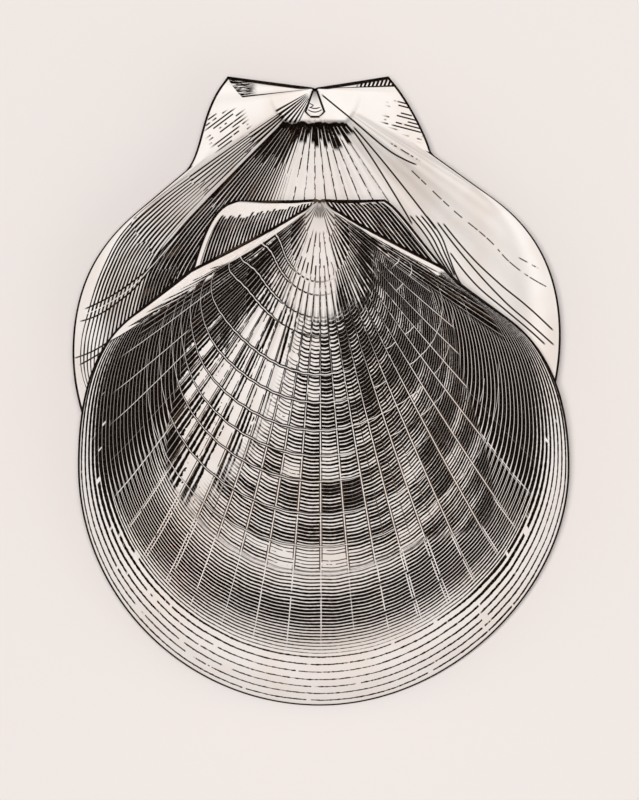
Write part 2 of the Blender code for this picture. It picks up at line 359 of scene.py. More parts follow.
def valve_tree():
    """Folds a grid round the sampled margin curve into one closed valve."""
    tree = bpy.data.node_groups.new("Valve from Margin", "GeometryNodeTree")
    for name, kind, default in VALVE_SOCKETS:
        socket = tree.interface.new_socket(name, in_out="INPUT", socket_type="NodeSocket" + kind)
        if default is not None:
            socket.default_value = default
    tree.interface.new_socket("Valve", in_out="OUTPUT", socket_type="NodeSocketGeometry")
    given = add_node(tree, "NodeGroupInput").outputs

    def wanted(name):
        return Number(tree, given[name])

    grid = add_node(tree, "GeometryNodeMeshGrid", {
        "Size X": 1, "Size Y": 1, "Vertices X": given["Columns"], "Vertices Y": given["Rows"],
    })
    position = add_node(tree, "GeometryNodeInputPosition").outputs[0]
    place = add_node(tree, "ShaderNodeSeparateXYZ", {0: position})
    around = Number(tree, place.outputs["X"]) + 0.5
    through = Number(tree, place.outputs["Y"])

    # Rows run from the beak over the outside to the rim, then back inside.
    inside = (through / RIM_SHARE + 0.5).math("MINIMUM", 1).larger(0)
    outward = 1 - ((abs(through) - RIM_SHARE / 2) / (0.5 - RIM_SHARE / 2)).larger(0)
    stage = (outward ** 1.15) * (1 - BEAK_STAGE) + BEAK_STAGE
    at_tip = outward.math("LESS_THAN", 0.0005)
    edge = (abs(around - 0.5) * 2).math("GREATER_THAN", 0.9995)

    # The margin point of this column, in millimetres.
    sample = add_node(tree, "GeometryNodeSampleCurve", {
        "Curves": given["Margin"], "Factor": around,
    }, mode="FACTOR")
    margin = add_node(tree, "ShaderNodeSeparateXYZ", {0: sample.outputs["Position"]})
    side_mm = Number(tree, margin.outputs["X"]) * 1000
    fore_mm = Number(tree, margin.outputs["Y"]) * -1000
    reach = (side_mm ** 2 + fore_mm ** 2).math("SQRT")
    forward = fore_mm.larger(0) / reach
    angle = abs(side_mm).math("ARCTAN2", fore_mm.larger(0.0001)).math("DEGREES")
    true_angle = abs(side_mm).math("ARCTAN2", fore_mm).math("DEGREES")
    side_sign = side_mm.math("SIGN")
    from_beak = stage * reach
    across = stage * side_mm
    along = stage * fore_mm

    # Dome height: earlier stages have turned further about the hinge line.
    turned = wanted("Turn") * stage.math("LOGARITHM", math.e) * -1
    flank = stage.smooth(0.4, 0) * (BEAK_FLANK_DEGREES - FLANK_DEGREES) + FLANK_DEGREES
    climb = ((wanted("Crease Angle") - angle) / flank).math("MINIMUM", 1).larger(0)
    share = climb.smooth(0, 1) * (1 - EAR_LIFT) + EAR_LIFT
    climb_rate = climb * (1 - climb) * (6 * (1 - EAR_LIFT) * 180 / math.pi) / flank
    sag = 1 - stage.bump_at(BRIM_STAGE, BRIM_WIDTH) * BRIM_SAG
    dome = from_beak * forward * turned * share * sag
    radial_slope = (turned - wanted("Turn")) * forward * share
    side_slope = turned * forward * climb_rate
    lengthened = (radial_slope ** 2 + side_slope ** 2 + 1).math("SQRT")
    thickness = WALL_AT_BEAK + stage.smooth(0.03, 0.33) * WALL_GAIN - stage.smooth(0.6, 1) * WALL_LOSS

    # Ribs between the disc's ends, riblets in their grooves, and growth terraces.
    disc = (around - given["Disc Start"]) / (wanted("Disc End") - given["Disc Start"])
    ray = disc * given["Rib Count"]
    on_disc = disc.smooth(0, 0.03) * disc.smooth(1, 0.97)
    rib_fade = stage.smooth(0.05, 0.2) * stage.smooth(0.92, 0.74) * on_disc
    wave = (ray * (2 * math.pi)).math("COSINE") * -1
    riblet = ray.line_distance().smooth(0.86, 1)
    bent = (angle / 57) ** 2.3 * stage.smooth(0, 0.5) * stage.smooth(1.08, 0.4)
    growth = stage - bent * EARLY_ROUNDNESS
    terraces = sum((growth.bump_at(halt, 0.0055) for halt in HALTS), growth * 0)
    terraces = terraces * TERRACE_DEPTH * stage.smooth(0.1, 0.3)
    ribs = (wave * given["Rib Height"] + riblet * RIBLET_HEIGHT) * rib_fade
    crease_mm = (angle - given["Crease Angle"] + 1.6) * from_beak * DEGREE
    cord_width = stage * 0.9 + 0.35
    cord = ((crease_mm / cord_width) ** 2 * -1).math("EXPONENT") * stage.math("SQRT") * CORD_HEIGHT
    lamella = (growth * 34).math("FRACT") * LAMELLA_HEIGHT
    lamella = lamella * angle.smooth(50, 56) * stage.smooth(0.15, 0.3)
    brim_steps = (stage * 69).math("FRACT") * BRIM_STEP * stage.smooth(0.83, 0.88)
    outer_mm = dome + thickness * lengthened + ribs + cord + lamella + brim_steps - terraces
    outer_mm = outer_mm.math("MINIMUM", given["Rest Depth"])

    # Inside: hinge plate with the ligament pit, a step down to the hollow, soft grooves and a cord.
    on_plate = along.larger(from_beak * PLATE_COSINE).smooth(PLATE_REACH + 0.5, PLATE_REACH - 0.1)
    pit = (abs(across) - pit_half_width(along)).smooth(0.22, -0.22) * along.smooth(0.3, 1.2)
    cross_cord = angle.bump_at(52, 1.7) * from_beak.smooth(7, 12) * from_beak.smooth(36, 24) * 0.15
    facet_side = true_angle - side_sign.smooth(0, -1) * 8
    facet = facet_side.smooth(82.4, 84) * given["Hinge Facet"] * from_beak.smooth(0.5, 3)
    hollow = dome - wave * rib_fade * 0.05 - cross_cord
    inner_mm = hollow * (1 - on_plate) + on_plate * pit * PIT_DEPTH - facet

    # The rim is rounded, and the two skins meet along the hinge line.
    blend = inside * (1 - edge) + edge * 0.5
    height = (outer_mm * (1 - blend) + inner_mm * blend) * (1 - at_tip) + at_tip * TIP_HEIGHT
    swell = (inside * math.pi).math("SINE") * RIM_BULGE / reach + 1
    kept = 1 - at_tip
    swollen = add_node(tree, "ShaderNodeCombineXYZ", {
        "X": across * swell * kept * MM,
        "Y": (along * swell * kept * -1 + edge * kept * 0.22 + at_tip * 0.1) * MM,
        "Z": height * MM,
    })

    # What the materials read: the sweep inside the margin, the gap to it, the tone of the lines with its
    # painted shade, the halts passed and the shoulder cord's width.
    sweep = from_beak.degrees_at(MARGIN_SWEEP) - angle
    tangent = add_node(tree, "ShaderNodeSeparateXYZ", {0: sample.outputs["Tangent"]})
    tangent_x, tangent_y = (Number(tree, tangent.outputs[axis]) for axis in "XY")
    margin_gap = (1 - stage) * abs(side_mm * tangent_y + fore_mm * tangent_x)
    signed_angle = true_angle * side_sign
    # The tone is partly painted shade: the zones darken the shaded flanks and the fall to the brim, and pale
    # the lit umbo.
    tone = signed_angle * 0 + OUTER_TONE
    for middle, at, degrees, stages, amount in OUTER_PIGMENT_AND_SHADE_TONES:
        tone = tone + signed_angle.bump_at(middle, degrees) * stage.bump_at(at, stages) * amount
    halts_passed = growth * 0
    for halt in HALTS:
        halts_passed = halts_passed + growth.smooth(halt - HALT_REACH, halt + HALT_REACH, "LINEAR")
    left_cord = (from_beak / CURVE_REACH).follow([(r / CURVE_REACH, w / 10) for r, w in LEFT_CORD]) * 10
    right_cord = (from_beak * 0.02 + 0.42) * from_beak.smooth(29.3, 28.6)
    cord_mm = left_cord * side_sign.smooth(0, -1) + right_cord * side_sign.smooth(0, 1)
    stored = grid.outputs["Mesh"]
    for name, parts, kind in (
        (LINE_MAP, (ray, stage, 0), "FLOAT2"),
        (LINE_PLACE, (signed_angle, sweep, 0), "FLOAT_VECTOR"),
        (PLAN_PLACE, (across * kept, along * kept, margin_gap), "FLOAT_VECTOR"),
        (TONE_PLACE, (ray, stage, tone), "FLOAT_VECTOR"),
        (HALT_PLACE, (halts_passed, cord_mm, 0), "FLOAT_VECTOR"),
    ):
        value = add_node(tree, "ShaderNodeCombineXYZ", dict(enumerate(parts))).outputs[0]
        stored = add_node(tree, "GeometryNodeStoreNamedAttribute", {
            "Geometry": stored, "Name": name, "Value": value,
        }, data_type=kind, domain="CORNER").outputs[0]
    sided = add_node(tree, "GeometryNodeStoreNamedAttribute", {
        "Geometry": stored, "Name": INNER_SIDE, "Value": inside,
    }, data_type="FLOAT", domain="FACE")

    # The grid is folded, its seams are welded, and each skin takes its material.
    folded = add_node(tree, "GeometryNodeSetPosition", {
        "Geometry": sided.outputs[0], "Position": swollen.outputs[0],
    })
    closed = add_node(tree, "GeometryNodeMergeByDistance", {
        "Geometry": folded.outputs[0], "Distance": WELD,
    })
    flipped = add_node(tree, "GeometryNodeFlipFaces", {"Mesh": closed.outputs[0]})
    smooth = add_node(tree, "GeometryNodeSetShadeSmooth", {
        "Geometry": flipped.outputs[0], "Shade Smooth": True,
    })
    real = add_node(tree, "GeometryNodeRealizeInstances", {"Geometry": smooth.outputs[0]})
    outside = add_node(tree, "GeometryNodeSetMaterial", {
        "Geometry": real.outputs[0], "Material": given["Outside"],
    })
    side_value = add_node(tree, "GeometryNodeInputNamedAttribute", {"Name": INNER_SIDE}, data_type="FLOAT")
    is_inside = Number(tree, side_value.outputs["Attribute"]).math("GREATER_THAN", 0.75)
    both = add_node(tree, "GeometryNodeSetMaterial", {
        "Geometry": outside.outputs[0], "Selection": is_inside, "Material": given["Inside"],
    })
    add_node(tree, "NodeGroupOutput", {"Valve": both.outputs[0]})
    return tree


# Materials

# Hatching's pitch at the beak in degrees, halved three times towards the margin, and the number of long
# growth lines from the beak to the margin.
HATCH_DEGREES = 8.2
LONG_LINES = 64

# The lining's threads, which paint shade on its shaded side: their pitch in degrees, from the beak outwards,
# the reach in mm at which the last three pitches begin, and the sweep in degrees of the crest among them.
SHADE_THREAD_DEGREES = (5.76, 2.88, 1.44, 0.96, 0.72)
SHADE_THREAD_STARTS = (17, 31, 47)
CREST_SWEEP = 12.2

# Pitch in degrees of the tufts of painted shadow under the hinge plate, and of the rays down the middle.
TUFT_DEGREES = 4.4
RAY_DEGREES = 5.6

# Noise in cycles to the metre: clouds about 14 mm wide, and grain of about 0.4 mm, which is chalk's own grain
# drawn as coarse as it needs to show.
CLOUD_SCALE = 70
GRAIN_SCALE = 2400
CLOUDED = "#EADCD2"


class Skin:
    """One skin's material and what its nodes read: places on the valve, in mm, degrees and growth stages."""

    def __init__(self, name):
        self.material = bpy.data.materials.new(name)
        self.material.use_nodes = True
        self.tree = self.material.node_tree
        self.shader = self.tree.nodes["Principled BSDF"]
        self.rib, self.stage, self.tone = self.stored(TONE_PLACE)
        self.angle, self.sweep, _ = self.stored(LINE_PLACE)
        self.across, self.along, self.margin_gap = self.stored(PLAN_PLACE)
        self.wide = abs(self.angle)
        self.reach = (self.across ** 2 + self.along ** 2).math("SQRT")

    def stored(self, name):
        """The three numbers that the valve tree stored under this name."""
        vector = add_node(self.tree, "ShaderNodeAttribute", attribute_name=name).outputs["Vector"]
        parts = add_node(self.tree, "ShaderNodeSeparateXYZ", {0: vector}).outputs
        return [Number(self.tree, socket) for socket in parts]

    def cell_noise(self, *places):
        """A random number for each cell that these whole numbers name."""
        cell = add_node(self.tree, "ShaderNodeCombineXYZ", dict(enumerate(places))).outputs[0]
        node = add_node(self.tree, "ShaderNodeTexWhiteNoise", {"Vector": cell}, noise_dimensions="3D")
        return Number(self.tree, node.outputs["Value"])

    def soft_noise(self, across, along, seed=0, detail=2):
        """Soft noise around 0.5."""
        place = add_node(self.tree, "ShaderNodeCombineXYZ", {0: across, 1: along, 2: seed}).outputs[0]
        node = add_node(self.tree, "ShaderNodeTexNoise", {"Vector": place, "Scale": 1, "Detail": detail})
        return Number(self.tree, node.outputs["Fac"])

    def path_line(self, points, half_width):
        """A line in the plan through (reach in mm, angle in degrees) points."""
        off = abs(self.angle - self.reach.degrees_at(points)) * self.reach * DEGREE
        line = off.smooth(half_width + 0.07, half_width - 0.07)
        return line * self.reach.between(points[0][0], points[-1][0], 0.4)

    def finish(self, ink, brown, ground, settings, roughness):
        """Colours the skin from its ink and brown masks, with clouding, grain and a faint relief."""
        tree, shader = self.tree, self.shader
        place = add_node(tree, "ShaderNodeTexCoord").outputs["Object"]
        noises = []
        for scale, detail in ((CLOUD_SCALE, 3), (GRAIN_SCALE, 2)):
            node = add_node(tree, "ShaderNodeTexNoise", {"Vector": place, "Scale": scale, "Detail": detail})
            noises.append(Number(tree, node.outputs["Fac"]))
        cloud, grain = noises
        cover = ink * (grain * 0.3 + 0.87).math("MINIMUM", 1)
        warm = add_node(tree, "ShaderNodeMix", {
            "Factor": cloud.smooth(0.38, 0.7) * 0.6, 6: linear(ground), 7: linear(CLOUDED),
        }, data_type="RGBA")
        ink_for_lines_and_shade = add_node(tree, "ShaderNodeMix", {
            "Factor": brown, 6: linear(settings.ink_for_lines_and_shade), 7: linear(settings.pale_pigment),
        }, data_type="RGBA")
        inked = add_node(tree, "ShaderNodeMix", {
            "Factor": cover, 6: warm.outputs[2], 7: ink_for_lines_and_shade.outputs[2],
        }, data_type="RGBA")
        bump = add_node(tree, "ShaderNodeBump", {"Height": grain, "Strength": 0.3, "Distance": 0.00002})
        shader.inputs["IOR"].default_value = 1.5
        for name, source in (
            ("Base Color", inked.outputs[2]),
            ("Roughness", (grain * 0.16 + ink * 0.2 + (roughness - 0.08)).socket),
            ("Specular IOR Level", (0.22 - ink * 0.19).socket),
            ("Normal", bump.outputs[0]),
        ):
            tree.links.new(source, shader.inputs[name])
        return self.material


def outer_shell(settings):
    """Chalky calcite, satin, with umber growth lines that also paint shade. It reads as an engraved shell."""
    skin = Skin("umber_lined_shade_hatched_calcite")
    rib, stage, angle, wide = skin.rib, skin.stage, skin.angle, skin.wide
    reach, gap = skin.reach, skin.margin_gap
    left, right = angle.smooth(1, -1), angle.smooth(-1, 1)
    sector = rib.math("FLOOR")
    within = rib.math("FRACT")
    rib_mm = stage * 8.3
    from_groove = within.math("MINIMUM", 1 - within) * rib_mm
    sector_noise = skin.cell_noise(sector, 0, 0)
    # The stored tone carries painted shade, so the lines grow thicker where the valve is shaded.
    tone = skin.tone + (skin.soft_noise(skin.across * 1.2, skin.along * 1.2, 11) - 0.5) * 0.4
    on_disc = wide.smooth(60.4, 59.8)

    # Halt lines: a dark pair with a pale core, dark on the left, mostly a pale gap on the right.
    halts_passed, cord_mm, _ = skin.stored(HALT_PLACE)
    halt_off = abs(halts_passed.math("FRACT") - 0.5) * (2 * HALT_REACH)
    early = stage.smooth(0.26, 0.23) * wide.smooth(27, 21)
    dark_pair = (halt_off + early * 0.002).smooth(0.004, 0.0031)
    dark_pair = dark_pair * (1 - early * from_groove.smooth(0.3, 0.15))
    dark_pair = dark_pair * (angle.smooth(14, -10) * 0.85 + 0.15) * stage.smooth(0.74, 0.6)
    halt_core = halt_off.smooth(0.0012, 0.0004) * stage.smooth(0.76, 0.7) * (1 - early)
    core_kept = skin.cell_noise(sector, halts_passed.math("FLOOR"), 8).smooth(0.5, 0.55)
    halt_core = halt_core * (core_kept * stage.smooth(0.28, 0.34)).larger(angle.smooth(12, 4))

    # The ribbed part ends here. Long growth lines take over towards the margin.
    ribbed_end = 0.7 - wide.smooth(28, 44) * 0.15 + angle.bump_at(28, 7) * 0.1
    ribbed_end = ribbed_end - wide.smooth(46, 54) * 0.1
    ribbed = (stage - ribbed_end).smooth(0.012, -0.012)
    ribbed = ribbed.larger(wide.smooth(51.5, 53.5) * stage.smooth(0.82, 0.78))

    # Ribbed part: growth dashes across each rib, with a beat of their own from rib to rib.
    flankness = abs((sector + 0.5) / 14 - 1).smooth(0.45, 1)
    lean = angle.smooth(-30, 40) * 0.8 - 0.5
    ring = stage * (134 - flankness * 46) + sector_noise * 3 + within * lean
    patch = skin.soft_noise(sector * 0.37, stage * 26, 3)
    cell = skin.cell_noise(sector, (halts_passed + 0.5).math("FLOOR"), 6) - 0.5
    cell = cell * stage.smooth(0.11, 0.18) * 0.28
    row_noise = skin.cell_noise(sector, ring.math("FLOOR"), 1)
    duty = (tone + cell + (patch - 0.5) * 0.8 + (row_noise - 0.5) * 0.3).math("MINIMUM", 0.87)
    dashes = ring.stripes(duty.larger(0.32)) * from_groove.smooth(0.05, 0.14) * duty.smooth(0.14, 0.19)

    # Hatching along the ribs, on the left flank and on both sides of the beak.
    left_flank = angle.smooth(-2, -14)
    along_ribs = (angle + stage * stage * 28).smooth(-8, -13).larger(
        wide.smooth(20, 24) * stage.smooth(0.23, 0.2), stage.smooth(0.21, 0.18), wide.smooth(51, 53))
    half_noise = skin.cell_noise(sector, (rib * 2).math("FLOOR"), 2) - 0.5
    hatch_duty = tone + (patch - 0.5) * 0.5 + half_noise * 0.2
    open_part = (within - 0.6 - cell * 2.4 - (tone - 0.5) * 1.1).smooth(-0.04, 0.08)
    open_part = open_part * left_flank * stage.smooth(0.16, 0.2)
    hatch_duty = ((hatch_duty + cell + left_flank * 0.03) * (1 - open_part)).math("MINIMUM", 0.86)
    tip = stage.smooth(0.0605, 0.0595)
    near = stage.smooth(0.1205, 0.1195)
    fine_part = stage.smooth(0.3045, 0.3055)
    tip_lines = (angle / HATCH_DEGREES).stripes(0.42) * tip
    near_lines = (angle / (HATCH_DEGREES / 2)).stripes(hatch_duty) * near * (1 - tip)
    coarse = (angle / (HATCH_DEGREES / 4)).stripes(hatch_duty) * (1 - fine_part - near)
    fine = (angle / (HATCH_DEGREES / 8)).stripes(hatch_duty) * fine_part
    hatch = coarse.larger(fine, near_lines, tip_lines)

    # On the umbo there is one broken line to a groove instead, and to every second one at the beak.
    umbo_break = skin.soft_noise(sector * 5.3, stage * 60, 5).smooth(0.42, 0.46)
    umbo_side = ((stage - 0.1).larger(0) * 90 + 7) * right
    umbo = stage.smooth(0.21, 0.17) * (wide + umbo_side).smooth(25, 22)
    hatch = hatch * hatch_duty.smooth(0.11, 0.18) * (1 - umbo)
    every_second = (rib * 0.5 + 0.5).line_distance() * rib_mm * stage.smooth(0.1005, 0.0995)
    umbo_lines = from_groove.larger(every_second).smooth(0.2, 0.11) * umbo_break
    hatch = hatch.larger(umbo_lines * umbo * stage.smooth(0.042, 0.052))
    cells = dashes * (1 - along_ribs) + hatch * along_ribs

    # Grooves: a pale riblet between two dark lines, thin near the beak.
    groove_break = skin.soft_noise(sector * 3.1, stage * 42, 7).smooth(0.36, 0.46)
    line_off = (rib_mm * 0.06).math("MINIMUM", 0.24)
    groove = abs(from_groove - line_off).smooth(0.17, 0.07) * groove_break * stage.smooth(0.1, 0.2)
    middle = (abs(within - 0.5) * rib_mm).smooth(0.13, 0.05) * sector_noise.smooth(0.45, 0.5)
    middle = middle * stage.between(0.3, 0.68, 0.04) * (1 - along_ribs)
    groove = groove.larger(middle * groove_break)
    pale_core = from_groove.smooth(0.15, 0.06) * stage.smooth(0.36, 0.5)
    ribbed_ink = cells.larger(groove * (1 - pale_core), dark_pair) * (1 - halt_core)

    # Long growth lines. Every second one ends on the flanks and before the brim.
    row_tone = skin.soft_noise(angle * 0.09, (stage * LONG_LINES).math("FLOOR") * 1.9, 9) - 0.5
    long_tone = tone + row_tone * stage.smooth(0.9, 0.84) * 0.45
    long_tone = long_tone.math("MINIMUM", angle.smooth(-34, -40) * 0.06 + 0.83)
    every = wide.smooth(30, 38).larger(stage.smooth(0.885, 0.9))
    beat = stage * LONG_LINES + skin.soft_noise(angle * 0.1, stage * 3, 2) * 0.5
    first = beat.stripes(long_tone * (every * 0.5 + 0.5), 0.07)
    second = (beat + 0.5).stripes(long_tone * (1 - every) * 0.5, 0.07) * every.smooth(0.9, 0.6)
    long_break = skin.soft_noise(angle * 0.5, beat.math("FLOOR") * 3.7, 4, 3).smooth(0.34, 0.38)
    long_break = (long_break + stage.smooth(0.9, 0.86) + wide.smooth(44, 50)).math("MINIMUM", 1)
    long_lines = first.larger(second) * long_break

    # Pale lines along some grooves part the long lines, and fine rays cross them on the left flank.
    pair_off = sector_noise.smooth(0.52, 0.56) * 0.36
    pale_pair = abs(from_groove - pair_off).smooth(0.16, 0.07) * stage.smooth(0.885, 0.86)
    pale_pair = pale_pair * sector_noise.smooth(0.2, 0.25) * wide.smooth(40, 34)
    pale_pair = pale_pair * skin.soft_noise(sector * 2.3, stage * 30, 6).smooth(0.36, 0.44)
    crossed = angle.between(-58, -41, 1) * stage.between(0.45, 0.84, 0.04)
    crossed = crossed * sector_noise.smooth(0.25, 0.3)
    long_lines = long_lines * (1 - abs(from_groove - 0.26).smooth(0.12, 0.05) * crossed)
    long_ink = long_lines.larger(from_groove.smooth(0.2, 0.12) * crossed) * (1 - pale_pair)
    long_ink = long_ink * (1 - halt_core * wide.smooth(30, 36))
    disc_ink = (ribbed_ink * ribbed + long_ink * (1 - ribbed)) * on_disc

    # Shoulder cord: a pale strip along the crease, ragged with lamella ends on the left, blunt on the right.
    teeth = (reach / 4.1 + gap * 0.36).math("FRACT") * reach.between(24, 53, 3) * -0.6 + 1.25
    cord_mm = cord_mm * (teeth * left + right)
    from_crease = ((61 - wide) * reach * DEGREE).math("MINIMUM", gap)
    on_flank = wide.smooth(40, 44)
    on_cord = (from_crease - cord_mm).smooth(0.08, -0.08) * on_flank
    cord_edge = abs(from_crease - cord_mm).smooth(0.2, 0.1) * reach.between(22, 53, 2) * left
    disc_ink = (disc_ink * (1 - on_cord)).larger(cord_edge * on_flank * on_disc)

    # Ears: lines along their growing edge, pale under the hinge line on the left.
    ear_rows = stage * (17 + left * 17)
    ragged = skin.cell_noise(ear_rows.math("FLOOR"), 4, 0) * 5
    ear_end = (wide + ragged - 82 - (1 - left) * 9).smooth(0.6, -0.6)
    ear_noise = skin.soft_noise(angle * 0.1, stage * 9, 8) - 0.5
    ear_tone = 0.64 + stage * 0.14 + (1 - left) * 0.04 + ear_noise * 0.5
    ear_lines = ear_rows.stripes(ear_tone) * ear_end * (gap - left * 0.5).smooth(0.3, 0.6)
    ear_lines = ear_lines * wide.smooth(60.9, 61.3)

    # Outlines: of the crease, the hinge line and the margin, and short strokes at the beak.
    contour = (abs(wide - 61.1) * reach * DEGREE).smooth(0.34, 0.22) * stage.smooth(0.03, 0.08)
    hinge_edge = skin.along.smooth(0.36, 0.24) * skin.along.smooth(-0.6, -0.4)
    outline = gap.smooth(0.3, 0.18)
    beak_strokes = (angle / HATCH_DEGREES).stripes(0.6) * reach.between(1, 2.6, 0.3)
    beak_strokes = beak_strokes * wide.smooth(34, 30)
    beak_dot = reach.smooth(0.6, 0.35)

    ink = disc_ink.larger(ear_lines, contour, hinge_edge, outline, beak_strokes, beak_dot)
    brown = (groove * ribbed * stage.smooth(0.42, 0.55) * 0.55).larger(stage.smooth(0.09, 0.06) * 0.5)
    return skin.finish(ink, brown, settings.outer_ground, settings, 0.52)


# Fine lines drawn across the hollow, as (reach in mm, degrees) from the beak. Positive angles are on the
# shaded side. A pale line parts the first two folds.
SHADED_FOLDS = (
    ((39, 43.6), (44.7, 43.7), (49.8, 42.9), (53.8, 43.4), (58.1, 44.2), (65.1, 46.2)),
    ((44, 43), (50, 42.5), (55, 42.2), (59.6, 42.8), (63.9, 43.7), (67.6, 45.2)),
    ((47.3, 37), (55.7, 37.3), (59.8, 38.1), (64.2, 38.8), (69, 39.8), (73.9, 41.7)),
    ((49, 35.8), (55.7, 36.2), (59.8, 37), (64.2, 37.8), (69, 38.9), (74.2, 40.4)),
)
PALE_FOLD = ((41, 43.2), (50, 42.7), (55, 42.8), (59.6, 43.6), (66.5, 45.7))
LIT_FOLDS = (
    ((38.2, -43.8), (46.2, -43.1), (54.6, -43.5), (61.9, -44.3), (69.4, -44.6)),
    ((37.2, -42.7), (45, -41.8), (58, -41.8), (65.1, -42.5), (71.7, -43)),
    ((43.6, -39.7), (51.3, -39.5), (59.7, -40.8), (66.6, -41.7), (70.4, -42)),
    ((2, -49.5), (8.6, -50.4), (19.6, -50.4), (23.2, -51.8), (25.9, -53.3)),
    ((11.3, -42.9), (19, -39.6), (34, -36)),
    ((11.2, -45.6), (20, -43.6), (38, -41)),
)

# Painted shadow: lines on the hollow beside the upper valve's ear, where the ear's shade falls.
EAR_SHADE = (
    ((32.5, -37.2), (37.7, -37.3), (42.5, -36.6), (47.4, -36.2)),
    ((33.2, -38.8), (38.4, -38.6), (42.9, -37.4), (47.6, -36.6)),
    ((33.9, -40.2), (39.1, -39.8), (43.4, -38.3), (47.8, -37)),
    ((34.6, -41.5), (39.6, -40.8), (43.8, -38.9), (48, -37.3), (51.4, -36.8)),
)
BROKEN_FOLDS = (
    ((25.8, -50), (36.8, -48.9), (47.4, -49.1), (53.5, -48.4), (63, -49.6)),
    ((54.3, -50.4), (56.4, -50.8), (58.6, -51.2)),
    ((19.2, -54.5), (22, -55), (25.9, -55.6)),
)


